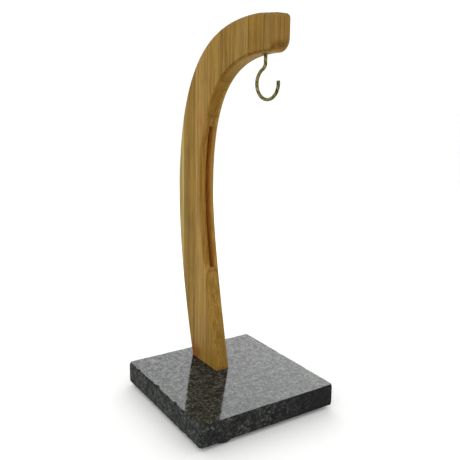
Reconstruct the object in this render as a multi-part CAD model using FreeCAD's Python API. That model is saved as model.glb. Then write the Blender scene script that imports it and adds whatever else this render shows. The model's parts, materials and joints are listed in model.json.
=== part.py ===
import FreeCAD, Part
import math
import os

# Single-hook hanging stand: a curved arm glued up from bamboo staves stands on a square
# granite slab, and a brass-plated screw hook hangs from the underside of the arm's head.
# Millimetres. +Z is up and the arm reaches towards +X, which is the front.
# X places named below are measured from the middle of the slab, and heights that start
# with "arm" or "slot" from the slab's top face. The finished model's origin is on the
# resting plane, under the middle of the whole stand.

# ---- granite slab
slab_side = 142.0
slab_thickness = 20.0
slab_corner_radius = 2.5      # upright corners, knocked off
slab_arris = 0.8              # bevel along the top and bottom edges

# ---- rubber feet, stuck to the slab's underside by hand
foot_diameter = 20.0
foot_height = 4.0
foot_edge_radius = 1.5
foot_place_x = 54.5
foot_place_y = 47.0
foot_offsets = {              # how far each foot is from its nominal place
    "foot_front_right": (4.8, 2.0),
    "foot_front_left": (-1.0, -0.5),
    "foot_back_right": (0.5, -1.0),
    "foot_back_left": (-1.0, 1.5),
}

# ---- arm, as seen from its side
arm_thickness = 15.0
arm_edge_round = 3.2
arm_foot_back_x = -56.6
arm_foot_front_x = -7.9
arm_foot_back_lean = 17.3     # degrees from upright where the back edge leaves the slab
arm_foot_front_lean = 11.8
arm_bulge_x = -85.3           # rearmost point of the back edge
arm_bulge_z = 161.2
arm_waist_x = -39.2           # rearmost point of the front edge
arm_waist_z = 176.4
arm_crown_x = 48.6            # highest point of the top edge
arm_crown_z = 328.0
arm_head_front_x = 74.6
arm_head_top_drop = 2.1       # fall of the top edge from the crown to the head's front
arm_head_under_x = 63.6       # where the head's underside becomes level
arm_head_under_z = 296.5
arm_head_top_corner = 4.2
arm_head_bottom_corner = 11.0

# Handle lengths of the four cubic curves: how long each keeps its end direction
back_foot_handle = 56.5
back_bulge_low_handle = 40.7
back_bulge_high_handle = 136.5
crown_handle = 73.6
front_foot_handle = 30.1
front_waist_low_handle = 50.3
front_waist_high_handle = 78.9
head_under_handle = 74.1

# ---- staves: upright strips of the glued board that the arm is cut from
stave_width = 21.8
glue_line_x = -7.1            # the glue line by the front of the foot

# ---- blade slot, sunk into the arm's front edge
slot_width = 5.6
slot_depth = 10.0             # behind the waist point
slot_bottom_z = 97.0
slot_top_z = 234.0

# ---- wood screws that hold the arm, from under the slab
screw_x = {"back": -43.0, "front": -21.5}
screw_diameter = 5.0
screw_length = 45.0
screw_tip_length = 5.0
screw_head_diameter = 9.5
screw_head_height = 3.2
screw_fit = 0.05              # radial, in the wood
screw_hole_clearance = 0.75   # radial, in the granite and the washer
screw_bore_spare = 2.0        # bore beyond the screw's tip
washer_diameter = 13.0
washer_thickness = 1.2
counterbore_clearance = 1.0   # radial, round the washer
counterbore_depth = 8.0

# ---- screw hook
hook_wire = 3.0
hook_x = 51.1
hook_yaw = 6.4                # degrees that its plane is turned out of the arm's plane
hook_screwed_in = 18.0
hook_point_length = 4.0
hook_bore_spare = 2.0
hook_fit = 0.05               # radial running clearance in its bore
hook_straight = 7.4           # straight wire between the head and the neck
hook_neck_radius = 5.8        # to the middle of the wire
hook_neck_turn = 62.4
hook_bowl_radius = 12.85      # to the middle of the wire
hook_bowl_turn = 251.3
hook_mouth_diameter = 7.0     # countersink round the wire
hook_mouth_depth = 1.8

# ---- places that follow from the sizes above
base_z = foot_height
top_z = foot_height + slab_thickness
half_side = slab_side / 2
half_arm = arm_thickness / 2
rear_x = min(arm_bulge_x, -half_side)
fore_x = max(arm_head_front_x, half_side)
middle_x = (rear_x + fore_x) / 2
REACH = 2 * (arm_crown_z + slab_side)    # longer than anything in the model
UP = FreeCAD.Vector(0, 0, 1)
DOWN = FreeCAD.Vector(0, 0, -1)


def vec(x, y, z):
    return FreeCAD.Vector(x, y, z)


def on_arm(x, z):
    """A point of the arm's side view, z above the slab's top."""
    return vec(x, 0, top_z + z)


def bezier(*poles):
    curve = Part.BezierCurve()
    curve.setPoles(list(poles))
    return curve.toShape()


def line(start, end):
    return Part.LineSegment(start, end).toShape()


def arc(start, middle, end):
    return Part.Arc(start, middle, end).toShape()


def cylinder(radius, bottom, height, x=0.0, y=0.0):
    return Part.makeCylinder(radius, height, vec(x, y, bottom), UP)


def round_corner(start, corner, end, radius):
    """The arc of the given radius that joins two straight edges meeting at corner."""
    back = (start - corner).normalize()
    ahead = (end - corner).normalize()
    half = back.getAngle(ahead) / 2
    reach = radius / math.tan(half)
    inward = (back + ahead).normalize()
    centre = corner + inward * (radius / math.sin(half))
    return corner + back * reach, centre - inward * radius, corner + ahead * reach


def back_edge():
    lean = math.radians(arm_foot_back_lean)
    foot = on_arm(arm_foot_back_x, 0)
    bulge = on_arm(arm_bulge_x, arm_bulge_z)
    crown = on_arm(arm_crown_x, arm_crown_z)
    rise = vec(-math.sin(lean), 0, math.cos(lean)) * back_foot_handle
    lower = bezier(foot, foot + rise, bulge - UP * back_bulge_low_handle, bulge)
    level = vec(crown_handle, 0, 0)
    upper = bezier(bulge, bulge + UP * back_bulge_high_handle, crown - level, crown)
    return [lower, upper]


def front_edge():
    lean = math.radians(arm_foot_front_lean)
    foot = on_arm(arm_foot_front_x, 0)
    waist = on_arm(arm_waist_x, arm_waist_z)
    under = on_arm(arm_head_under_x, arm_head_under_z)
    rise = vec(-math.sin(lean), 0, math.cos(lean)) * front_foot_handle
    level = vec(head_under_handle, 0, 0)
    upper = bezier(under, under - level, waist + UP * front_waist_high_handle, waist)
    lower = bezier(waist, waist - UP * front_waist_low_handle, foot + rise, foot)
    return [upper, lower]


def head_end():
    """Top edge from the crown forward, the upright front end and both its corners."""
    crown = on_arm(arm_crown_x, arm_crown_z)
    top = on_arm(arm_head_front_x, arm_crown_z - arm_head_top_drop)
    bottom = on_arm(arm_head_front_x, arm_head_under_z)
    under = on_arm(arm_head_under_x, arm_head_under_z)
    top_arc = round_corner(crown, top, bottom, arm_head_top_corner)
    bottom_arc = round_corner(top, bottom, under, arm_head_bottom_corner)
    edges = [line(crown, top_arc[0]), arc(*top_arc), line(top_arc[2], bottom_arc[0])]
    edges.append(arc(*bottom_arc))
    if (bottom_arc[2] - under).Length > 0.01:
        edges.append(line(bottom_arc[2], under))
    return edges


def whole_arm():
    """The arm in one piece, its long edges rounded and its blade slot cut."""
    foot_back = on_arm(arm_foot_back_x, 0)
    foot_front = on_arm(arm_foot_front_x, 0)
    edges = back_edge() + head_end() + front_edge() + [line(foot_front, foot_back)]
    outline = Part.Wire(Part.__sortEdges__(edges))
    outline.translate(vec(0, -half_arm, 0))
    solid = Part.Face(outline).extrude(vec(0, arm_thickness, 0))

    def on_a_side(edge):
        box = edge.BoundBox
        flat = box.YLength < 0.001 and abs(abs(box.Center.y) - half_arm) < 0.001
        return flat and box.ZMax > top_z + 0.001

    long_edges = [edge for edge in solid.Edges if on_a_side(edge)]
    solid = solid.makeFillet(arm_edge_round, long_edges)
    slot_x = arm_waist_x - slot_depth
    slot = Part.makeBox(REACH, slot_width, slot_top_z - slot_bottom_z,
                        vec(slot_x, -slot_width / 2, top_z + slot_bottom_z))
    front_half = Part.makeBox(REACH, arm_thickness, REACH, vec(slot_x, -half_arm, 0))
    return solid.cut(slot.common(front_half))


def screw_seat_z():
    """Height of the washer's lower face, where a screw's head bears."""
    return base_z + counterbore_depth - washer_thickness


def arm_bores():
    """Bores for the two fixing screws, and the hook's bore with its countersink."""
    tools = []
    screw_top = screw_seat_z() + screw_length + screw_bore_spare
    for x in screw_x.values():
        radius = screw_diameter / 2 + screw_fit
        tools.append(cylinder(radius, base_z, screw_top - base_z, x))
    radius = hook_wire / 2 + hook_fit
    under = top_z + arm_head_under_z
    below = under - arm_head_bottom_corner
    depth = arm_head_bottom_corner + hook_screwed_in + hook_bore_spare
    tools.append(cylinder(radius, below, depth, hook_x))
    tools.append(Part.makeCone(hook_mouth_diameter / 2, radius, hook_mouth_depth,
                               vec(hook_x, 0, under), UP))
    tools.append(cylinder(hook_mouth_diameter / 2, below, under - below, hook_x))
    return tools


def staves():
    """The arm cut along its glue lines, which stand a stave's width apart."""
    arm = whole_arm().cut(arm_bores())
    first = math.floor((arm_bulge_x - glue_line_x) / stave_width)
    last = math.ceil((arm_head_front_x - glue_line_x) / stave_width)
    pieces = {}
    for number, step in enumerate(range(first, last), start=1):
        left = glue_line_x + step * stave_width
        band = Part.makeBox(stave_width, arm_thickness, REACH, vec(left, -half_arm, 0))
        solids = sorted(arm.common(band).Solids, key=lambda solid: solid.BoundBox.ZMin)
        if len(solids) == 1:
            pieces["arm_stave_%d" % number] = solids[0]
        else:
            pieces["arm_stave_%d_foot" % number] = solids[0]
            pieces["arm_stave_%d_head" % number] = solids[-1]
    return pieces


def granite_slab():
    slab = Part.makeBox(slab_side, slab_side, slab_thickness,
                        vec(-half_side, -half_side, base_z))
    upright = [edge for edge in slab.Edges if edge.BoundBox.ZLength > slab_thickness / 2]
    slab = slab.makeFillet(slab_corner_radius, upright)
    rims = [edge for edge in slab.Edges if edge.BoundBox.ZLength < 0.001]
    slab = slab.makeChamfer(slab_arris, rims)
    for x in screw_x.values():
        hole = screw_diameter / 2 + screw_hole_clearance
        counterbore = washer_diameter / 2 + counterbore_clearance
        slab = slab.cut(cylinder(hole, base_z, slab_thickness, x))
        slab = slab.cut(cylinder(counterbore, base_z, counterbore_depth, x))
    return slab


def rubber_foot(x, y):
    foot = cylinder(foot_diameter / 2, 0, foot_height, x, y)
    rim = [edge for edge in foot.Edges if edge.BoundBox.ZMax < 0.001]
    return foot.makeFillet(foot_edge_radius, rim)


def fixing_screw(x):
    """Pan-head wood screw, head down, without its thread."""
    seat = screw_seat_z()
    head = cylinder(screw_head_diameter / 2, seat - screw_head_height, screw_head_height, x)
    rim = [edge for edge in head.Edges if edge.BoundBox.ZMax < seat - screw_head_height / 2]
    head = head.makeFillet(screw_head_height / 3, rim)
    straight = screw_length - screw_tip_length
    shank = cylinder(screw_diameter / 2, seat, straight, x)
    tip = Part.makeCone(screw_diameter / 2, 0, screw_tip_length, vec(x, 0, seat + straight), UP)
    return head.fuse([shank, tip]).removeSplitter()


def washer(x):
    hole = screw_diameter / 2 + screw_hole_clearance
    ring = cylinder(washer_diameter / 2, screw_seat_z(), washer_thickness, x)
    return ring.cut(cylinder(hole, base_z, slab_thickness, x))


def hook_path():
    """Middle line of the bent wire, drawn in the plane y = 0 with the shank at x = 0."""
    start = vec(0, 0, top_z + arm_head_under_z + hook_screwed_in - hook_point_length)
    neck = vec(0, 0, top_z + arm_head_under_z - hook_straight)
    neck_centre = neck - vec(hook_neck_radius, 0, 0)
    turn = math.radians(hook_neck_turn)

    def on_neck(angle):
        return neck_centre + vec(math.cos(angle), 0, -math.sin(angle)) * hook_neck_radius

    outward = (on_neck(turn) - neck_centre).normalize()
    bowl_centre = on_neck(turn) + outward * hook_bowl_radius
    entry = math.atan2(-outward.z, -outward.x)

    def on_bowl(angle):
        swept = entry + math.radians(angle)
        return bowl_centre + vec(math.cos(swept), 0, math.sin(swept)) * hook_bowl_radius

    edges = [line(start, neck), arc(neck, on_neck(turn / 2), on_neck(turn))]
    for part in range(2):
        begin = part * hook_bowl_turn / 2
        edges.append(arc(on_bowl(begin), on_bowl(begin + hook_bowl_turn / 4),
                         on_bowl(begin + hook_bowl_turn / 2)))
    return Part.Wire(edges), start


def screw_hook():
    path, start = hook_path()
    section = Part.Wire(Part.makeCircle(hook_wire / 2, start, DOWN))
    wire = path.makePipeShell([section], True, False)
    point = Part.makeCone(hook_wire / 2, 0, hook_point_length, start, UP)
    hook = wire.fuse(point)
    hook.rotate(vec(0, 0, 0), UP, hook_yaw)
    hook.translate(vec(hook_x, 0, 0))
    return hook


def rubber_feet():
    feet = {}
    for name, (dx, dy) in foot_offsets.items():
        x_side = 1 if "front" in name else -1
        y_side = 1 if "left" in name else -1
        feet[name] = rubber_foot(x_side * foot_place_x + dx, y_side * foot_place_y + dy)
    return feet


pieces = {"granite_slab": granite_slab()}
pieces.update(rubber_feet())
pieces.update(staves())
for place, x in screw_x.items():
    pieces["fixing_screw_" + place] = fixing_screw(x)
    pieces["washer_" + place] = washer(x)
pieces["screw_hook"] = screw_hook()

os.makedirs("parts", exist_ok=True)
for name, shape in pieces.items():
    shape.translate(vec(-middle_x, 0, 0))
    solids = shape.Solids
    print(name, "solids", len(solids), "valid", shape.isValid(), "mm3", round(shape.Volume, 1))
    (solids[0] if len(solids) == 1 else shape).exportStep("parts/" + name + ".step")
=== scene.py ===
import json
import math

import bpy
from mathutils import Matrix, Vector, geometry, noise


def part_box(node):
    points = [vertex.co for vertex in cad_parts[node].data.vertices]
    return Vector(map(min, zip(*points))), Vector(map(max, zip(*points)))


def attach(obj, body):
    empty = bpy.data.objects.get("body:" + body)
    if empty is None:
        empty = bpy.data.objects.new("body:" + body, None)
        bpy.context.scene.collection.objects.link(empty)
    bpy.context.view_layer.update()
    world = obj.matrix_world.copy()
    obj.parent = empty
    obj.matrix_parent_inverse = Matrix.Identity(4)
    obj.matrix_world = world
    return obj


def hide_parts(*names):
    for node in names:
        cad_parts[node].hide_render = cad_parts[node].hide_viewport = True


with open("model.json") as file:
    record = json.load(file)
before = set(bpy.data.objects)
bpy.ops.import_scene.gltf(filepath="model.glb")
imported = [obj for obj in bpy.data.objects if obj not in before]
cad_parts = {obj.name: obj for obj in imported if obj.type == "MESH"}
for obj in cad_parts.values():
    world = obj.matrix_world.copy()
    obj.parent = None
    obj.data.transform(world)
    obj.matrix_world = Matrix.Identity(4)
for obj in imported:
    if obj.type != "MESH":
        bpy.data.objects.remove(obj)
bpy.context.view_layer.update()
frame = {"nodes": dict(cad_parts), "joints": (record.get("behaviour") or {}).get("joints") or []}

# Hanging stand: bamboo arm on a granite slab, with a brass screw hook. Metres, in the frame
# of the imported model: +Z up, +X towards the front, where the arm reaches.

MM = 0.001
noise.seed_set(5)    # or noise_vector takes its offsets from the clock

SLAB_LOW, SLAB_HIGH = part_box("granite_slab")
SLAB_MIDDLE = (SLAB_LOW + SLAB_HIGH) / 2
SLAB_TOP = SLAB_HIGH.z
ARM_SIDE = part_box("arm_stave_2")[0].y    # the arm's -Y side


# ---------------------------------------------------------------- meshes

def mesh_object(name, vertices, faces, sharp_degrees=35):
    mesh = bpy.data.meshes.new(name)
    mesh.from_pydata(vertices, [], faces)
    mesh.validate()
    mesh.shade_smooth()
    mesh.set_sharp_from_angle(angle=math.radians(sharp_degrees))
    made = bpy.data.objects.new(name, mesh)
    bpy.context.collection.objects.link(made)
    return made


def loop_quads(lower, upper):
    """Quads between two closed rings of vertex indices of the same length."""
    count = len(lower)
    quads = []
    for i in range(count):
        j = (i + 1) % count
        quads.append((lower[i], lower[j], upper[j], upper[i]))
    return quads


def stacked_rings(rings, close_first=True, close_last=True):
    """Vertices and faces of a skin over rings of points, with its ends closed by fans."""
    vertices, faces, indices = [], [], []
    for ring in rings:
        indices.append(list(range(len(vertices), len(vertices) + len(ring))))
        vertices.extend(ring)
    for lower, upper in zip(indices, indices[1:]):
        faces.extend(loop_quads(lower, upper))
    ends = [(indices[0], close_first, True), (indices[-1], close_last, False)]
    for ring, wanted, flip in ends:
        if not wanted:
            continue
        centre = len(vertices)
        vertices.append(sum((Vector(vertices[i]) for i in ring), Vector()) / len(ring))
        for i, first in enumerate(ring):
            second = ring[(i + 1) % len(ring)]
            faces.append((second, first, centre) if flip else (first, second, centre))
    return vertices, faces


def circle(centre_x, centre_y, z, radius, count):
    """A ring of points, anticlockwise from above."""
    ring = []
    for i in range(count):
        angle = 2 * math.pi * i / count
        ring.append(Vector((centre_x + radius * math.cos(angle),
                            centre_y + radius * math.sin(angle), z)))
    return ring


def smoothstep(low, high, value):
    """0 at low, 1 at high (which may be the smaller one), with a soft start and end."""
    t = min(max((value - low) / (high - low), 0.0), 1.0)
    return t * t * (3 - 2 * t)


# ---------------------------------------------------------------- materials

def srgb(red, green, blue):
    """A display colour, 0 to 255 a channel, as linear values with alpha."""
    linear = []
    for channel in (red / 255, green / 255, blue / 255):
        dark = channel <= 0.04045
        linear.append(channel / 12.92 if dark else ((channel + 0.055) / 1.055) ** 2.4)
    return (*linear, 1.0)


def shade(colour, factor):
    return (*(min(channel * factor, 1.0) for channel in colour[:3]), 1.0)


class Shader:
    """A node material under construction. A socket given as an input is linked."""

    def __init__(self, name, **fixed):
        self.material = bpy.data.materials.new(name)
        self.material.use_nodes = True
        self.tree = self.material.node_tree
        self.surface = self.tree.nodes["Principled BSDF"]
        self.set(self.surface, fixed)

    def set(self, node, inputs):
        for key, value in inputs.items():
            socket = node.inputs[key]
            if isinstance(value, bpy.types.NodeSocket):
                self.tree.links.new(value, socket)
            else:
                socket.default_value = value

    def add(self, kind, inputs=None, output=0, **settings):
        node = self.tree.nodes.new("ShaderNode" + kind)
        for key, value in settings.items():
            setattr(node, key, value)
        self.set(node, inputs or {})
        return node.outputs[output]

    def math(self, operation, first, second=0.0, third=0.0):
        inputs = {0: first, 1: second, 2: third}
        return self.add("Math", inputs, operation=operation)

    def vector(self, operation, first, second):
        return self.add("VectorMath", {0: first, 1: second}, operation=operation)

    def place(self):
        return self.add("TexCoord", output="Object")

    def split(self, vector):
        node = self.tree.nodes.new("ShaderNodeSeparateXYZ")
        self.set(node, {0: vector})
        return node.outputs

    def scaled(self, vector, scale, offset=(0, 0, 0)):
        inputs = {"Vector": vector, "Scale": scale, "Location": offset}
        return self.add("Mapping", inputs)

    def noise(self, vector, detail=3.0, roughness=0.55):
        inputs = {"Vector": vector, "Scale": 1.0, "Detail": detail, "Roughness": roughness}
        return self.add("TexNoise", inputs, output="Fac")

    def ramp(self, factor, *stops):
        """A colour ramp from (position, colour) stops."""
        node = self.tree.nodes.new("ShaderNodeValToRGB")
        elements = node.color_ramp.elements
        while len(elements) < len(stops):
            elements.new(0.5)
        for element, (position, colour) in zip(elements, stops):
            element.position = position
            element.color = colour
        self.set(node, {"Fac": factor})
        return node.outputs["Color"]

    def span(self, value, low, high, to_low=0.0, to_high=1.0, smooth=True):
        """value's range low..high turned into to_low..to_high, clamped."""
        inputs = {"Value": value, "From Min": low, "From Max": high,
                  "To Min": to_low, "To Max": to_high}
        kind = "SMOOTHSTEP" if smooth else "LINEAR"
        return self.add("MapRange", inputs, interpolation_type=kind)

    def mix(self, factor, first, second, blend="MIX"):
        node = self.tree.nodes.new("ShaderNodeMix")
        node.data_type = "RGBA"
        node.blend_type = blend
        self.set(node, {0: factor, 6: first, 7: second})
        return node.outputs[2]

    def bump(self, height, distance, strength=1.0):
        normal = self.add("Bump", {"Height": height, "Distance": distance,
                                   "Strength": strength})
        self.set(self.surface, {"Normal": normal})

    def done(self, colour, roughness):
        self.set(self.surface, {"Base Color": colour, "Roughness": roughness})
        return self.material


LIGHT_LEVEL = 1.30           # how much brighter a lit face looks than its own colour
GLOSS_LEVEL = 0.012          # white added to it by the satin finish
WANDER = 1.0 * MM            # how far the bamboo's streaks stray sideways
GLUE_CORE = 0.25 * MM        # half the width of a glue line's dark middle
GLUE_FADE = 0.70 * MM        # half the width of the whole line
SLOT_HALF = 2.80 * MM        # half the milled slot's width


def bare(seen):
    """The surface colour that looks like seen under the studio light."""
    return (*(max(channel - GLOSS_LEVEL, 0.002) / LIGHT_LEVEL for channel in seen[:3]), 1.0)


def warm(colour, factor):
    """A darker shade that keeps its red and loses its blue, as bamboo does."""
    return (colour[0] * factor, colour[1] * factor * 0.94, colour[2] * factor * 0.78, 1.0)


def bamboo_grain(s, place, base, seed, streakiness):
    """The wood's plain colour, with the masks of its streaks, fibres and pores."""
    shift = (seed * 0.137, seed * 0.071, seed * 0.213)
    wander = s.noise(s.scaled(place, (9, 9, 14), shift), detail=2)
    sideways = s.add("CombineXYZ", {"X": s.span(wander, 0, 1, -WANDER, WANDER, smooth=False)})
    bent = s.vector("ADD", place, sideways)
    strips = s.noise(s.scaled(bent, (190, 190, 2.5), shift), detail=2)
    streaks = s.noise(s.scaled(bent, (470, 470, 9), shift), detail=3, roughness=0.6)
    fibres = s.noise(s.scaled(bent, (1150, 1150, 32), shift), detail=4, roughness=0.7)
    cloud = s.noise(s.scaled(place, (70, 70, 30), shift), detail=4)

    level = 0.5
    for part, weight in ((strips, 0.30), (streaks, 1.0), (fibres, 1.15), (cloud, 0.45)):
        centred = s.math("SUBTRACT", part, 0.5)
        level = s.math("MULTIPLY_ADD", centred, weight * streakiness, level)
    colour = s.ramp(level, (0.20, warm(base, 0.60)), (0.42, warm(base, 0.90)),
                    (0.56, shade(base, 1.05)), (0.80, shade(base, 1.38)))

    dashes = s.noise(s.scaled(bent, (1500, 1500, 170), shift), detail=2)
    pores = s.span(dashes, 0.60, 0.72)
    colour = s.mix(s.math("MULTIPLY", pores, 0.45), colour, warm(base, 0.55))
    return colour, streaks, fibres, pores


def patch(s, colour, place, streaks, centre, radii, patch_colour, strength):
    """A blotch of another colour, with an edge that follows the streaks."""
    away = s.vector("SUBTRACT", place, centre)
    reach = s.vector("MULTIPLY", away, tuple(1 / radius for radius in radii))
    length = s.add("VectorMath", {0: reach}, output="Value", operation="LENGTH")
    ragged = s.math("MULTIPLY_ADD", streaks, 1.1, length)
    mask = s.span(ragged, 0.95, 1.55, strength, 0.0)
    return s.mix(mask, colour, bare(patch_colour))


def faces_below(s, colour, y, facing):
    """End grain, and the inner curve: painted shade where it turns down, and painted light,
    paler and yellower, where it is flat.
    """
    end_grain = s.span(s.math("ABSOLUTE", facing[2]), 0.6, 0.95, 0.0, 0.35)
    colour = s.mix(end_grain, colour, srgb(196, 162, 104), "MULTIPLY")
    # painted shade where the inner curve turns down, fading out towards +Y
    shaded = s.math("MULTIPLY", s.span(facing[2], -0.40, -0.05, 0.85, 0.0),
                    s.span(facing[2], -0.97, -0.75, 0.15, 1.0))
    shaded = s.math("MULTIPLY", shaded, s.span(y, 1.5 * MM, 4.5 * MM, 1.0, 0.1))
    colour = s.mix(shaded, colour, srgb(214, 196, 160), "MULTIPLY")
    # painted light: the flat, downward-facing underside made paler and yellower
    flat = s.span(facing[2], -0.95, -0.60, 0.65, 0.0)
    return s.mix(flat, colour, bare(srgb(164, 130, 52)))


def painted_edge_highlights(s, colour, base, y, z, facing, fibres):
    """Painted highlights: long edges painted pale, and a pale band of painted light along the
    inner curve's +Y edge.
    """
    off_side = s.span(s.math("ABSOLUTE", facing[1]), 0.45, 0.80, 1.0, 0.0)
    inner = s.math("MAXIMUM", s.span(facing[0], 0.1, 0.4),
                   s.span(facing[2], -0.4, -0.1, 1.0, 0.0))
    inner = s.math("MULTIPLY", inner, s.span(z, SLAB_TOP + 85 * MM, SLAB_TOP + 105 * MM))
    # painted light: a pale band along the inner curve's +Y edge
    far_highlight = s.math("MULTIPLY", inner, s.span(y, 3.0 * MM, 5.5 * MM, 0.0, 0.30))
    # painted highlight along both long edges, broken up by the fibres
    edge_highlight = s.span(s.math("ABSOLUTE", y), 5.8 * MM, 7.2 * MM, 0.0, 0.5)
    edge_highlight = s.math("MAXIMUM", s.math("MULTIPLY", edge_highlight, s.span(fibres, 0.3, 0.6)), far_highlight)
    return s.mix(s.math("MULTIPLY", edge_highlight, off_side), colour, shade(base, 1.35))


def glue_seams(s, colour, base, x, lines, darkness):
    for line in lines:
        off = s.math("ABSOLUTE", s.math("SUBTRACT", x, line))
        near = s.span(off, GLUE_CORE, GLUE_FADE, darkness, 0.0)
        colour = s.mix(near, colour, warm(base, 0.35))
    return colour


def slot_darkening(s, colour, place, facing, streaks, slot):
    """Reddish brown darkening along the slot: painted shade on the front face, stronger on its
    -Y half, and a darker band on the side just behind the front edge.
    """
    low, high, (at_zero, slope, bend) = slot
    x, y, z = s.split(place)
    past_low = s.span(z, low - 7 * MM, low + 9 * MM)
    past_high = s.span(z, high - 9 * MM, high + 7 * MM, 1.0, 0.0)
    along = s.math("MULTIPLY", past_low, past_high)
    edge = s.math("MULTIPLY_ADD", z, s.math("MULTIPLY_ADD", z, bend, slope), at_zero)
    behind = s.math("MULTIPLY_ADD", streaks, 3 * MM, s.math("SUBTRACT", edge, x))
    # a darker reddish band on the side, just behind the front edge
    beside = s.math("MULTIPLY", s.span(behind, 3.0 * MM, 7.5 * MM, 0.75, 0.0),
                    s.span(facing[0], 0.10, 0.40, 1.0, 0.0))
    # painted shade on the front face, stronger on its -Y half
    front = s.math("MULTIPLY", s.span(facing[0], 0.10, 0.55),
                   s.span(y, -1 * MM, 2 * MM, 0.85, 0.45))
    darkening = s.math("MULTIPLY", s.math("MAXIMUM", front, beside),
                   s.span(streaks, 0.25, 0.70, 1.0, 0.5))
    return s.mix(s.math("MULTIPLY", darkening, along), colour, bare(srgb(126, 82, 30)))


def slot_walls(s, colour, place, slot):
    """The milled walls and floor of the slot, which were never sanded."""
    low, high = slot[:2]
    _, y, z = s.split(place)
    slack = 0.1 * MM
    inside = s.span(s.math("ABSOLUTE", y), SLOT_HALF, SLOT_HALF + 0.15 * MM, 1.0, 0.0)
    above = s.math("GREATER_THAN", z, low - slack)
    below = s.math("LESS_THAN", z, high + slack)
    inside = s.math("MULTIPLY", inside, s.math("MULTIPLY", above, below))
    milled = s.ramp(s.noise(s.scaled(place, (300, 300, 60)), detail=4),
                    (0.35, srgb(164, 108, 42)), (0.7, srgb(196, 144, 66)))
    return s.mix(s.math("MULTIPLY", inside, 0.85), colour, milled)


def bamboo(name, tone, seed, glue_lines, streakiness, glue, patches, slot):
    """Upright bamboo strips: streaks along Z, pores, thin glue lines and a sanded finish.

    tone is the stave's colour, glue_lines the X places of its joints and glue how dark
    they are, patches a list of (centre, radii, colour, strength), and slot the low and
    high Z of the milled slot with the front edge's curve beside it, or None."""
    s = Shader(name)
    base = bare(tone)
    place = s.place()
    x, y, z = s.split(place)
    facing = s.split(s.add("NewGeometry", output="Normal"))
    colour, streaks, fibres, pores = bamboo_grain(s, place, base, seed, streakiness)
    for spot in patches:
        colour = patch(s, colour, place, streaks, *spot)
    colour = faces_below(s, colour, y, facing)
    colour = painted_edge_highlights(s, colour, base, y, z, facing, fibres)
    colour = glue_seams(s, colour, base, x, glue_lines, glue)
    if slot:
        colour = slot_darkening(s, colour, place, facing, streaks, slot)
        colour = slot_walls(s, colour, place, slot)

    height = s.math("MULTIPLY_ADD", fibres, 0.7, s.math("MULTIPLY", streaks, 0.5))
    height = s.math("MULTIPLY_ADD", pores, -0.5, height)
    s.bump(height, 0.09 * MM, 0.5)
    s.set(s.surface, {"Specular IOR Level": 0.08})
    return s.done(colour, s.span(streaks, 0.3, 0.7, 0.46, 0.60))


def grains(s, place):
    """Interlocking mineral grains of two sizes in soft clouds, as one value round 0.5."""
    nudge = s.noise(s.scaled(place, (700, 700, 700)), detail=2)
    shifts = {}
    for axis, reach in (("X", 0.5 * MM), ("Y", -0.5 * MM), ("Z", 0.4 * MM)):
        shifts[axis] = s.span(nudge, 0.2, 0.8, -reach, reach, smooth=False)
    warped = s.vector("ADD", place, s.add("CombineXYZ", shifts))
    coarse = s.add("TexVoronoi", {"Vector": warped, "Scale": 560.0}, output="Color")
    fine = s.add("TexVoronoi", {"Vector": warped, "Scale": 1200.0}, output="Color")
    clouds = s.noise(s.scaled(place, (130, 130, 130)), detail=3)
    level = s.math("MULTIPLY_ADD", s.split(coarse)[0], 0.42,
                   s.math("MULTIPLY", s.split(fine)[1], 0.30))
    return s.math("MULTIPLY_ADD", clouds, 0.56, s.math("SUBTRACT", level, 0.14))


def polished_granite():
    """The top: dark grains under a mirror polish that is a little stronger towards +X."""
    s = Shader("polished_granite", IOR=1.5)
    place = s.place()
    level = grains(s, place)
    colour = s.ramp(level, (0.25, srgb(18, 21, 21)), (0.45, srgb(28, 32, 31)),
                    (0.62, srgb(44, 49, 47)), (0.80, srgb(76, 82, 77)))
    mottle = s.noise(s.scaled(place, (260, 260, 260)), detail=4, roughness=0.6)
    shine = s.math("MULTIPLY_ADD", level, 0.45, s.math("MULTIPLY", mottle, 0.60))
    pits = s.noise(s.scaled(place, (1500, 1500, 1500)), detail=2)
    worn = s.span(s.split(place)[0], SLAB_LOW.x, SLAB_HIGH.x, -0.07, 0.05, smooth=False)
    gloss = s.math("ADD", s.span(shine, 0.36, 0.68, 0.14, 0.29), worn)
    s.set(s.surface, {"Specular IOR Level": gloss})
    s.bump(s.span(pits, 0.66, 0.72, 1.0, 0.0), 0.02 * MM, 0.35)
    return s.done(colour, s.span(level, 0.2, 0.8, 0.05, 0.11))


def split_granite():
    """Broken faces: paler where bruised by the chisel, less so towards +X, whose darker tone is
    partly painted shade; painted shade also darkens the +X side towards +Y.
    """
    s = Shader("split_granite")
    place = s.place()
    level = grains(s, place)
    colour = s.ramp(level, (0.25, srgb(7, 8, 8)), (0.45, srgb(17, 18, 18)),
                    (0.62, srgb(33, 35, 33)), (0.80, srgb(80, 83, 77)))
    bruise = s.noise(s.scaled(place, (210, 210, 210)), detail=5, roughness=0.75)
    normal = s.split(s.add("NewGeometry", output="True Normal"))
    # paler bruising, weaker on faces towards +X; that keeps the +X side darker, partly as
    # painted shade
    bruise_and_side_shade = s.span(normal[0], 0.25, 0.85, 0.75, 0.22)
    pale = s.math("MULTIPLY", s.span(bruise, 0.40, 0.72), bruise_and_side_shade)
    colour = s.mix(pale, colour, srgb(66, 70, 66))
    # painted shade: the +X side darker towards +Y
    far_shade = s.math("MULTIPLY", s.span(s.split(place)[1], -30 * MM, 60 * MM, 0.1, 0.9),
                     s.span(normal[0], 0.3, 0.8))
    colour = s.mix(far_shade, colour, srgb(8, 9, 9))
    grain = s.noise(s.scaled(place, (1300, 1300, 1300)), detail=5, roughness=0.75)
    height = s.math("MULTIPLY_ADD", grain, 0.8, s.math("MULTIPLY", level, 0.6))
    s.bump(height, 0.35 * MM, 0.7)
    s.set(s.surface, {"Specular IOR Level": 0.18})
    return s.done(colour, s.span(level, 0.2, 0.8, 0.85, 0.62))


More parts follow.
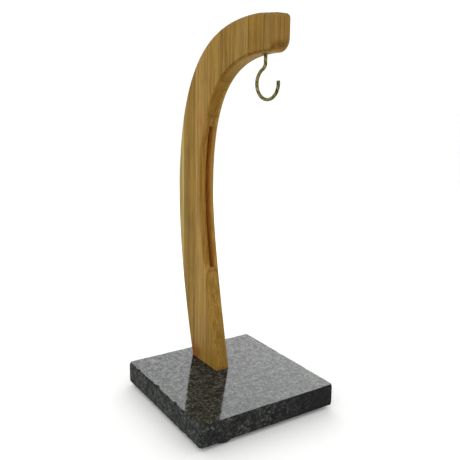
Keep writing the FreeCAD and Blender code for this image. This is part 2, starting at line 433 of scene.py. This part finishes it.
def sawn_granite():
    """The underside, with the saw's faint straight marks."""
    s = Shader("sawn_granite")
    place = s.place()
    level = grains(s, place)
    colour = s.ramp(level, (0.25, srgb(40, 42, 42)), (0.45, srgb(62, 64, 63)),
                    (0.62, srgb(84, 85, 82)), (0.82, srgb(124, 124, 116)))
    wear = s.noise(s.scaled(place, (24, 900, 24)), detail=3)
    colour = s.mix(s.span(wear, 0.5, 0.75, 0.0, 0.25), colour, srgb(120, 122, 118))
    s.bump(s.math("MULTIPLY_ADD", wear, 0.6, level), 0.12 * MM, 0.5)
    return s.done(colour, s.span(level, 0.2, 0.8, 0.72, 0.58))


def black_rubber():
    s = Shader("black_rubber_pad")
    place = s.place()
    dust = s.noise(s.scaled(place, (240, 240, 240)), detail=5, roughness=0.7)
    colour = s.ramp(dust, (0.35, srgb(20, 20, 21)), (0.6, srgb(30, 30, 30)),
                    (0.8, srgb(62, 60, 57)))
    s.bump(s.noise(s.scaled(place, (2600, 2600, 2600)), detail=2), 0.05 * MM, 0.5)
    return s.done(colour, s.span(dust, 0.3, 0.8, 0.7, 0.92))


def hook_plating():
    """Yellow plating over drawn wire, with fine marks that wind slowly round it; in the colour
    they also paint light and dark reflection streaks along the wire.
    """
    s = Shader("hook_plating", Metallic=1.0)
    wire = s.add("Attribute", output="Vector", attribute_name="wire_place")
    marks = s.noise(s.scaled(wire, (1.6, 1.6, 150)), detail=4, roughness=0.65)
    tarnish = s.noise(s.scaled(s.place(), (170, 170, 170)), detail=5, roughness=0.65)
    level = s.math("MULTIPLY_ADD", marks, 0.75, s.math("MULTIPLY", tarnish, 0.35))
    # painted reflections: light and dark streaks from the winding marks, standing in for the
    # light along the wire
    colour = s.ramp(level, (0.42, srgb(56, 46, 20)), (0.53, srgb(92, 86, 44)),
                    (0.69, srgb(158, 150, 102)))
    s.bump(marks, 0.05 * MM, 0.45)
    return s.done(colour, s.span(level, 0.35, 0.75, 0.42, 0.26))


def zinc():
    s = Shader("zinc_plating", Metallic=1.0)
    place = s.place()
    spangle = s.noise(s.scaled(place, (900, 900, 900)), detail=3)
    smear = s.noise(s.scaled(place, (160, 160, 160)), detail=5, roughness=0.7)
    colour = s.ramp(smear, (0.3, srgb(128, 130, 132)), (0.7, srgb(186, 188, 190)))
    s.bump(spangle, 0.02 * MM, 0.4)
    return s.done(colour, s.span(smear, 0.3, 0.75, 0.28, 0.5))


def use(piece, material):
    """Gives a CAD node, or a new piece, one material."""
    if not piece.material_slots:
        piece.data.materials.append(material)
    piece.material_slots[0].material = material


# ---------------------------------------------------------------- granite slab

SCREW_PLACES = ("back", "front")
HEWN = {"-Y": 1.0, "+Y": 0.30, "+X": 0.22, "-X": 0.30}    # how rough each side is
COLUMN_PITCH = 0.75 * MM        # of the points along a side
ROW_COUNT = 30
CORNER_RADIUS = 1.8 * MM
STRAIGHT_HALF = (SLAB_HIGH.x - SLAB_LOW.x) / 2 - CORNER_RADIUS
HOLE_POINTS = 40
HOLE_RADIUS = 3.25 * MM         # of the slab's through holes and of the washers' own
COUNTERBORE_GAP = 1.0 * MM      # round a washer


def slab_outline():
    """Points round the slab's edge, each with its outward direction."""
    corners = [(1, -1, -90), (1, 1, 0), (-1, 1, 90), (-1, -1, 180)]    # sides, first angle
    bend = max(int(CORNER_RADIUS * math.pi / 2 / COLUMN_PITCH), 4)
    steps = int(2 * STRAIGHT_HALF / COLUMN_PITCH)
    outline = []
    for x_side, y_side, start in corners:
        hub = Vector((SLAB_MIDDLE.x + x_side * STRAIGHT_HALF,
                      SLAB_MIDDLE.y + y_side * STRAIGHT_HALF))
        for i in range(bend + 1):
            angle = math.radians(start + 90 * i / bend)
            outward = Vector((math.cos(angle), math.sin(angle)))
            outline.append((hub + outward * CORNER_RADIUS, outward))
        last, outward = outline[-1]
        along = Vector((-outward.y, outward.x))
        for i in range(1, steps):
            outline.append((last + along * (2 * STRAIGHT_HALF * i / steps), outward))
    return outline


def facets(point, size, seed):
    """Height of a broken face made of tilted flats, roughly -1 to 1."""
    scaled = point / size + Vector((seed, seed * 1.7, seed * 0.6))
    centre = noise.voronoi(scaled)[1][0]
    tilt = noise.noise_vector(centre * 7.3)
    return tilt.dot(scaled - centre) * 1.6 + noise.noise(centre * 3.1) * 0.8


def hewn_share(outward):
    """How rough the slab is on the side, or between the sides, that faces outward."""
    x_side = HEWN["+X" if outward.x > 0 else "-X"]
    y_side = HEWN["+Y" if outward.y > 0 else "-Y"]
    return x_side * outward.x ** 2 + y_side * outward.y ** 2


def side_inset(point, outward, top_chip, bottom_chip):
    """How far the broken side lies inside the slab's true face at one point."""
    rough = facets(point, 9 * MM, 3.0) * 0.55 + facets(point, 4 * MM, 8.0) * 0.30
    rough += noise.fractal(point / (1.5 * MM), 0.6, 2.1, 3) * 0.10
    inset = hewn_share(outward) * (0.06 + 0.55 * rough) * MM
    inset += 0.06 * MM * noise.fractal(point / (1.1 * MM), 0.7, 2.0, 3)
    for chip, distance in (top_chip, SLAB_HIGH.z - point.z), (bottom_chip, point.z - SLAB_LOW.z):
        inset += chip * max(0.0, 1 - distance / (chip * 1.15 + 0.4 * MM)) ** 1.2
    from_middle = point - SLAB_MIDDLE
    from_corner = max(0.0, STRAIGHT_HALF - min(abs(from_middle.x), abs(from_middle.y)))
    deepest = 0.75 * CORNER_RADIUS + 0.4 * from_corner    # or the outline crosses itself
    return min(max(inset, 0.0), deepest)


def chip_size(place, outward, seed, share):
    """Size of the chips knocked off an edge at one place; share is 1 for a full set."""
    spot = Vector((place.x, place.y, seed))
    big = max(0.0, noise.noise(spot / (9 * MM)) - 0.05) * 3.4
    small = max(0.0, noise.noise(spot / (2.6 * MM)) + 0.15) * 1.3
    corner = min(abs(outward.x), abs(outward.y)) * 2.0
    return ((0.30 + (0.3 + big + small) * hewn_share(outward)) * share + corner) * MM


def flat_fill(outer, holes):
    """Triangles, as indices into the rings' points, that fill outer but not the holes."""
    rings = [outer] + holes
    points, edges = [], []
    for ring in rings:
        start = len(points)
        points.extend(Vector((p.x, p.y)) for p in ring)
        edges.extend((start + i, start + (i + 1) % len(ring)) for i in range(len(ring)))
    result = geometry.delaunay_2d_cdt(points, edges, [], 1, 1e-9)
    vertices, triangles, origins = result[0], result[2], result[3]
    discs = []
    for hole in holes:
        middle = sum((Vector((p.x, p.y)) for p in hole), Vector((0, 0))) / len(hole)
        discs.append((middle, (Vector((hole[0].x, hole[0].y)) - middle).length))
    kept = []
    for triangle in triangles:
        middle = sum((vertices[i] for i in triangle), Vector((0, 0))) / 3
        if all((middle - hub).length > radius * 0.999 for hub, radius in discs):
            kept.append([origins[i][0] for i in triangle])
    return kept


def slab_sides():
    """Rings of points up the broken sides, from the underside to the top."""
    outline = slab_outline()
    rows = []
    for row in range(ROW_COUNT + 1):
        z = SLAB_LOW.z + (SLAB_HIGH.z - SLAB_LOW.z) * row / ROW_COUNT
        ring = []
        for place, outward in outline:
            point = Vector((place.x, place.y, z))
            inset = side_inset(point, outward, chip_size(place, outward, 0.0, 1.0),
                               chip_size(place, outward, 1.0, 0.3))
            ring.append(point - Vector((outward.x, outward.y, 0)) * inset)
        rows.append(ring)
    return rows


def add_hole(vertices, faces, place):
    """Adds the wall of one counterbored hole, and returns its lowest and highest rings."""
    low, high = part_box("washer_" + place)
    middle = (low + high) / 2
    counterbore = (high.x - low.x) / 2 + COUNTERBORE_GAP
    levels = [(counterbore, SLAB_LOW.z), (counterbore, high.z), (HOLE_RADIUS, high.z),
              (HOLE_RADIUS, SLAB_HIGH.z)]
    rings = []
    for radius, z in levels:
        start = len(vertices)
        vertices.extend(circle(middle.x, middle.y, z, radius, HOLE_POINTS))
        rings.append(list(range(start, start + HOLE_POINTS)))
    for lower, upper in zip(rings, rings[1:]):
        faces.extend(quad[::-1] for quad in loop_quads(lower, upper))
    return rings[0], rings[-1]


def add_flat(vertices, faces, rim, holes, upward):
    """Adds the flat face inside rim and round the holes, which are rings of indices."""
    rings = [[vertices[i] for i in ring] for ring in [rim] + holes]
    flat = [index for ring in [rim] + holes for index in ring]
    for a, b, c in flat_fill(rings[0], rings[1:]):
        corners = [flat[a], flat[b], flat[c]]
        first, second, third = (Vector(vertices[i]) for i in corners)
        rises = (second - first).cross(third - first).z > 0
        faces.append(corners if rises == upward else corners[::-1])


def granite_slab():
    """The slab: polished top, broken sides, sawn underside and two counterbored holes."""
    rows = slab_sides()
    vertices, faces = stacked_rings(rows, close_first=False, close_last=False)
    side_faces = len(faces)
    ring_size = len(rows[0])
    bottom = list(range(ring_size))
    top = list(range(ring_size * ROW_COUNT, ring_size * (ROW_COUNT + 1)))
    holes = [add_hole(vertices, faces, place) for place in SCREW_PLACES]
    wall_faces = len(faces)
    add_flat(vertices, faces, top, [high_ring for _, high_ring in holes], True)
    top_faces = len(faces)
    add_flat(vertices, faces, bottom, [low_ring for low_ring, _ in holes], False)
    slab = mesh_object("granite_base", vertices, faces, sharp_degrees=50)
    for material in (split_granite(), polished_granite(), sawn_granite()):
        slab.data.materials.append(material)
    for polygon in slab.data.polygons:
        if polygon.index < side_faces:
            polygon.material_index = 0
        elif wall_faces <= polygon.index < top_faces:
            polygon.material_index = 1
            polygon.use_smooth = False
        else:
            polygon.material_index = 2
            polygon.use_smooth = polygon.index < wall_faces
    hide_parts("granite_slab")
    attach(slab, "stand")


# ---------------------------------------------------------------- rubber feet

FOOT_POINTS = 72
# radius as a share of the foot's, and height as a share of its height
FOOT_PROFILE = [(0.30, 0.10), (0.46, 0.10), (0.50, 0.0), (0.80, 0.0), (0.90, 0.06),
                (0.965, 0.20), (0.99, 0.42), (1.0, 0.66), (1.0, 0.86), (0.985, 0.94),
                (0.95, 1.0)]


def rubber_feet():
    """Round pads with rounded edges and a shallow hollow in the middle of the underside."""
    material = black_rubber()
    for node in sorted(frame["nodes"]):
        if not node.startswith("foot_"):
            continue
        low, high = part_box(node)
        middle = (low + high) / 2
        radius = (high.x - low.x) / 2
        rings = []
        for share, rise in FOOT_PROFILE:
            z = low.z + (high.z - low.z) * rise
            rings.append(circle(middle.x, middle.y, z, radius * share, FOOT_POINTS))
        pad = mesh_object("rubber_" + node, *stacked_rings(rings), sharp_degrees=50)
        use(pad, material)
        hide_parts(node)
        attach(pad, "stand")


# ---------------------------------------------------------------- threads, screws, washers

RINGS_PER_TURN = 9
SCREW_POINTS = 96
SHANK_RADIUS = 2.5 * MM
SHANK_LENGTH = 12 * MM          # the plain part, above the head's seat
SCREW_ROOT = 1.75 * MM
SCREW_PITCH = 2.2 * MM
SCREW_TIP = 6 * MM
WASHER_POINTS = 64
WASHER_ROLL = 0.3 * MM


def thread_rings(start_z, end_z, root, crest, pitch, tip_length, centre, count):
    """Rings up a wood-screw thread that tapers to a point over tip_length below end_z."""
    rings = []
    steps = int((end_z - start_z) / (pitch / RINGS_PER_TURN))
    for step in range(steps + 1):
        z = start_z + (end_z - start_z) * step / steps
        taper = min(1.0, (end_z - z) / tip_length + 0.04)
        grow = smoothstep(start_z, start_z + 2 * pitch, z)
        ring = []
        for i in range(count):
            angle = 2 * math.pi * i / count
            phase = ((z - start_z) / pitch - i / count) % 1.0
            ridge = max(0.0, 1 - abs(phase - 0.5) / 0.27)
            body = root * (0.35 + 0.65 * taper) if taper < 1 else root
            reach = body + (crest - root) * ridge * grow * min(1.0, taper * 1.5)
            ring.append(Vector((centre.x + reach * taper ** 0.5 * math.cos(angle),
                                centre.y + reach * taper ** 0.5 * math.sin(angle), z)))
        rings.append(ring)
    return rings


def screw_head_rings(middle, low_z, high_z, radius, count):
    """Rings of a pan head with a cross recess, from its middle out and up to its seat."""
    recess_reach = radius * 0.56
    recess_depth = (high_z - low_z) * 0.62
    arm_half = radius * 0.115

    def sink(x, y):
        arm_a = smoothstep(arm_half * 1.5, arm_half * 0.8, abs(y))
        arm_b = smoothstep(arm_half * 1.5, arm_half * 0.8, abs(x))
        far = math.hypot(x, y) / recess_reach
        return recess_depth * max(arm_a, arm_b) * max(0.0, 1 - far ** 1.6)

    rings = []
    shares = [0.02 + 0.68 * i / 22 for i in range(23)] + [0.76, 0.84, 0.90, 0.95, 0.985, 1.0]
    for share in shares:
        dome = (high_z - low_z) * 0.55 * (1 - math.sqrt(max(0.0, 1 - share ** 4)))
        ring = []
        for point in circle(0, 0, 0, radius * share, count):
            z = low_z + dome + sink(point.x, point.y)
            ring.append(Vector((middle.x + point.x, middle.y + point.y, z)))
        rings.append(ring)
    rings.append(circle(middle.x, middle.y, high_z, radius * 0.99, count))
    return rings


def fixing_screws():
    material = zinc()
    for place in SCREW_PLACES:
        node = "fixing_screw_" + place
        low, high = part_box(node)
        washer_low, washer_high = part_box("washer_" + place)
        middle = (low + high) / 2
        seat = washer_low.z
        shank_top = seat + SHANK_LENGTH
        head = screw_head_rings(middle, low.z, seat, (high.x - low.x) / 2, SCREW_POINTS)
        for z in (seat, shank_top):
            head.append(circle(middle.x, middle.y, z, SHANK_RADIUS, SCREW_POINTS))
        thread = thread_rings(shank_top, high.z, SCREW_ROOT, SHANK_RADIUS, SCREW_PITCH,
                              SCREW_TIP, middle, SCREW_POINTS)
        screw = mesh_object("wood_screw_" + place, *stacked_rings(head + thread))
        use(screw, material)
        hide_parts(node)
        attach(screw, "stand")
        washer(place, washer_low, washer_high, material)


def washer(place, low, high, material):
    """A stamped washer, with its lower corners rolled over and its upper ones sharp."""
    middle = (low + high) / 2
    outer = (high.x - low.x) / 2
    hole, roll = HOLE_RADIUS, WASHER_ROLL
    corners = [(hole, low.z + roll), (hole + roll * 0.3, low.z + roll * 0.3),
               (hole + roll, low.z), (outer - roll, low.z),
               (outer - roll * 0.3, low.z + roll * 0.3), (outer, low.z + roll),
               (outer, high.z), (hole, high.z)]
    rings = [circle(middle.x, middle.y, z, radius, WASHER_POINTS) for radius, z in corners]
    vertices, faces = stacked_rings(rings, close_first=False, close_last=False)
    last = range(WASHER_POINTS * (len(corners) - 1), WASHER_POINTS * len(corners))
    faces.extend(loop_quads(last, range(WASHER_POINTS)))
    ring = mesh_object("flat_washer_" + place, vertices, faces)
    use(ring, material)
    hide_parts("washer_" + place)
    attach(ring, "stand")


# ---------------------------------------------------------------- screw hook

HOOK_YAW = math.radians(6.4)    # of the wire's plane, from +X towards +Y
WIRE_RADIUS = 1.5 * MM
NECK_DROP = 7.4 * MM            # straight wire below the head
NECK_RADIUS = 5.8 * MM
NECK_TURN = math.radians(62.4)
BOWL_RADIUS = 12.85 * MM
BOWL_TURN = math.radians(251.3)
THREAD_PITCH = 1.1 * MM
THREAD_ROOT = 1.12 * MM
THREAD_TIP = 5 * MM
WIRE_POINTS = 36
NECK_STEPS = 6


def hook_line():
    """Places and directions down the wire's middle, from the head's underside to its tip."""
    steps = [(Vector((0, 0, 0)), Vector((0, 0, -1)))]
    for i in range(1, NECK_STEPS + 1):
        steps.append((Vector((0, 0, -NECK_DROP * i / NECK_STEPS)), Vector((0, 0, -1))))
    heading = -math.pi / 2

    def bend(radius, turn, side, count):
        """Follows an arc; side is -1 to turn clockwise and 1 anticlockwise."""
        nonlocal heading
        for _ in range(count):
            step = turn / count
            place = steps[-1][0]
            chord = 2 * radius * math.sin(step / 2)
            angle = heading + side * step / 2
            ahead = place + Vector((math.cos(angle), 0, math.sin(angle))) * chord
            heading += side * step
            steps.append((ahead, Vector((math.cos(heading), 0, math.sin(heading)))))

    bend(NECK_RADIUS, NECK_TURN, -1, 14)
    bend(BOWL_RADIUS, BOWL_TURN, 1, 90)
    return steps


def wire_rings():
    """Rings along the wire and over its cut tip, with how far along the wire each is."""
    across = Vector((0, 1, 0))
    rings, spots = [], []
    travelled = 0.0
    line = hook_line()
    for index, (place, ahead) in enumerate(line):
        if index:
            travelled += (place - line[index - 1][0]).length
        side = ahead.cross(across)
        ring = []
        for i in range(WIRE_POINTS):
            angle = 2 * math.pi * i / WIRE_POINTS
            spoke = across * math.cos(angle) + side * math.sin(angle)
            ring.append(place + spoke * WIRE_RADIUS)
        rings.append(ring)
        spots.append(travelled)
    place, ahead = line[-1]
    last = rings[-1]
    for share, forward in ((0.93, 0.10 * MM), (0.80, 0.16 * MM)):
        rings.append([place + ahead * forward + (point - place) * share for point in last])
        spots.append(travelled + forward)
    return rings, spots


def screw_hook():
    """Bent wire with a cut tip, and a wood-screw thread on the part inside the arm."""
    joint = next(joint for joint in frame["joints"] if joint["name"] == "hook_turn")
    root_place = Vector(joint["pos_m"])
    point_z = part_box("screw_hook")[1].z - root_place.z
    rings, spots = wire_rings()
    thread = thread_rings(0.0, point_z, THREAD_ROOT, WIRE_RADIUS, THREAD_PITCH, THREAD_TIP,
                          Vector((0, 0, 0)), WIRE_POINTS)
    flipped = []
    for ring in reversed(thread):    # from the point down, in the wire's turning direction
        flipped.append([ring[(WIRE_POINTS // 4 - i) % WIRE_POINTS] for i in range(WIRE_POINTS)])
    spots = [-ring[0].z for ring in flipped[:-1]] + spots
    vertices, faces = stacked_rings(flipped[:-1] + rings)
    hook = mesh_object("wire_hook", vertices, faces, sharp_degrees=40)
    turned = Matrix.Translation(root_place) @ Matrix.Rotation(HOOK_YAW, 4, "Z")
    hook.data.transform(turned)
    # round the wire in X and Y, and along it in Z, for marks, with painted reflection streaks,
    # that wind slowly round it
    mark = hook.data.attributes.new("wire_place", "FLOAT_VECTOR", "POINT")
    for index, vertex in enumerate(hook.data.vertices):
        row = min(index // WIRE_POINTS, len(spots) - 1)
        angle = 2 * math.pi * index / WIRE_POINTS + spots[row] / MM * 0.55
        mark.data[index].vector = (math.cos(angle), math.sin(angle), spots[row])
    use(hook, hook_plating())
    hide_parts("screw_hook")
    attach(hook, "hook")


# ---------------------------------------------------------------- arm

SLOT_LOW, SLOT_HIGH = SLAB_TOP + 97.0 * MM, SLAB_TOP + 234.0 * MM
SLOT_NODES = ("arm_stave_2", "arm_stave_3", "arm_stave_4_foot")
STAVE_TONES = {
    "arm_stave_1": srgb(178, 156, 96),
    "arm_stave_2": srgb(147, 116, 54),
    "arm_stave_3": srgb(166, 133, 71),
    "arm_stave_4_foot": srgb(154, 120, 60),
    "arm_stave_4_head": srgb(158, 125, 62),
    "arm_stave_5": srgb(144, 112, 53),
    "arm_stave_6": srgb(154, 123, 65),
    "arm_stave_7": srgb(147, 114, 52),
    "arm_stave_8": srgb(142, 111, 59),
}
STREAKINESS = {"arm_stave_5": 1.2, "arm_stave_2": 1.1, "arm_stave_6": 0.9}    # others 1
DARK_GLUE = {"arm_stave_7": 0.9, "arm_stave_8": 0.8, "arm_stave_6": 0.6}      # others 0.35
REDDISH = srgb(150, 84, 32)
PALE_RED = srgb(164, 112, 66)
KNOT = srgb(120, 82, 40)


def side_patch(x, up, half_sizes, colour, strength):
    """A blotch on the arm's -Y side, with its middle at x and up above the slab, in mm."""
    centre = (x * MM, ARM_SIDE, SLAB_TOP + up * MM)
    return centre, tuple(size * MM for size in half_sizes), colour, strength


PATCHES = {
    "arm_stave_2": [side_patch(-48, 8, (6, 6, 12), REDDISH, 0.75)],
    "arm_stave_3": [side_patch(-41, 6, (9, 6, 11), REDDISH, 0.75),
                    side_patch(-37, 239, (10, 6, 11), PALE_RED, 0.40)],
    "arm_stave_8": [side_patch(74.5, 301.7, (3.8, 5, 3.4), KNOT, 0.5)],
}


def front_edge(low, high):
    """The arm's front edge between two heights, as X = a + b Z + c Z squared."""
    nodes = [frame["nodes"][node] for node in STAVE_TONES]
    points = [node.matrix_world @ vertex.co for node in nodes for vertex in node.data.vertices]
    steps = 12
    edge = []
    for i in range(steps):
        start = low + (high - low) * i / steps
        slice_points = [p for p in points if start <= p.z < start + (high - low) / steps]
        if slice_points:
            edge.append(max(slice_points, key=lambda p: p.x))
    squares = Matrix([[sum(p.z ** (row + column) for p in edge) for column in range(3)]
                      for row in range(3)])
    products = Vector([sum(p.x * p.z ** row for p in edge) for row in range(3)])
    return tuple(squares.inverted() @ products)


def arm_staves():
    """The staves keep their CAD meshes and get one bamboo material each."""
    cut_slot = (SLOT_LOW, SLOT_HIGH, front_edge(SLOT_LOW, SLOT_HIGH))
    for seed, (node, tone) in enumerate(sorted(STAVE_TONES.items()), start=1):
        low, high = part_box(node)
        glue_lines = []
        if node != "arm_stave_1":
            glue_lines.append(low.x)
        if node != "arm_stave_8":
            glue_lines.append(high.x)
        slot = cut_slot if node in SLOT_NODES else None
        material = bamboo("bamboo_" + node, tone, seed, glue_lines, STREAKINESS.get(node, 1.0),
                          DARK_GLUE.get(node, 0.35), PATCHES.get(node, ()), slot)
        use(frame["nodes"][node], material)


# ---------------------------------------------------------------- floor, light and camera

FLOOR_REACH = 12.0
WORLD_STRENGTH = 1.35
# a direction's Z, which is 0 at the horizon and 1 straight up, and how bright it is there
SKY_STOPS = [(0.0, 0.80), (0.15, 0.85), (0.35, 1.0), (0.7, 0.9), (1.0, 0.7)]
LAMP_COLOUR = (0.985, 1.0, 0.98)


def floor():
    reach = FLOOR_REACH
    corners = [(-reach, -reach, 0), (reach, -reach, 0), (reach, reach, 0), (-reach, reach, 0)]
    plane = mesh_object("floor", corners, [(0, 1, 2, 3)])
    s = Shader("pale_floor")
    tint = s.noise(s.scaled(s.place(), (3, 3, 3)), detail=2)
    colour = s.ramp(tint, (0.3, srgb(236, 236, 235)), (0.7, srgb(240, 240, 239)))
    use(plane, s.done(colour, 0.9))


def panel(name, place, aim, width, height, power):
    """A soft rectangular light that the camera doesn't see directly."""
    light = bpy.data.lights.new(name, "AREA")
    light.shape = "RECTANGLE"
    light.size = width
    light.size_y = height
    light.energy = power
    light.color = LAMP_COLOUR
    lamp = bpy.data.objects.new(name, light)
    bpy.context.collection.objects.link(lamp)
    lamp.location = place
    lamp.rotation_euler = (Vector(aim) - Vector(place)).to_track_quat("-Z", "Y").to_euler()
    lamp.visible_camera = False


def studio_light():
    """An even white room, a soft key from the front and a panel behind.

    The polished slab mirrors the panel behind, which is above the camera's view."""
    world = bpy.data.worlds.new("studio")
    bpy.context.scene.world = world
    world.use_nodes = True
    tree = world.node_tree
    background = tree.nodes["Background"]
    direction = tree.nodes.new("ShaderNodeTexCoord")
    parts = tree.nodes.new("ShaderNodeSeparateXYZ")
    ramp = tree.nodes.new("ShaderNodeValToRGB")
    tree.links.new(direction.outputs["Generated"], parts.inputs[0])
    tree.links.new(parts.outputs["Z"], ramp.inputs["Fac"])
    tree.links.new(ramp.outputs["Color"], background.inputs["Color"])
    elements = ramp.color_ramp.elements
    while len(elements) < len(SKY_STOPS):
        elements.new(0.5)
    for element, (position, value) in zip(elements, SKY_STOPS):
        element.position = position
        element.color = (value, value, value, 1.0)
    background.inputs["Strength"].default_value = WORLD_STRENGTH
    panel("key", place=(0.9, -1.1, 0.9), aim=(0, 0, 0.15), width=0.8, height=0.8, power=2.0)
    panel("behind", place=(-0.97, 0.62, 0.62), aim=(0, 0, 0.02), width=1.3, height=0.56,
          power=4.6)


def camera():
    """The photo's view, of the front and the -Y side from a little above."""
    place = (0.46646, -0.29675, 0.28678)
    azimuth = math.radians(57.19)
    elevation = math.radians(10.22)
    roll = math.radians(0.75)
    back = Vector((math.sin(azimuth) * math.cos(elevation),
                   -math.cos(azimuth) * math.cos(elevation), math.sin(elevation)))
    right = Vector((math.cos(azimuth), math.sin(azimuth), 0))
    up = back.cross(right)
    turned_right = right * math.cos(roll) + up * math.sin(roll)
    turned_up = up * math.cos(roll) - right * math.sin(roll)
    data = bpy.data.cameras.new("camera")
    data.sensor_width = 36.0
    data.lens = 47.64
    data.shift_y = -0.0543
    data.clip_start = 0.01
    made = bpy.data.objects.new("camera", data)
    bpy.context.collection.objects.link(made)
    axes = Matrix((turned_right, turned_up, back)).transposed().to_4x4()
    made.matrix_world = Matrix.Translation(place) @ axes
    bpy.context.scene.camera = made


granite_slab()
rubber_feet()
fixing_screws()
screw_hook()
arm_staves()
floor()
studio_light()
camera()
bpy.context.scene.view_settings.view_transform = "Standard"

bpy.context.view_layer.update()
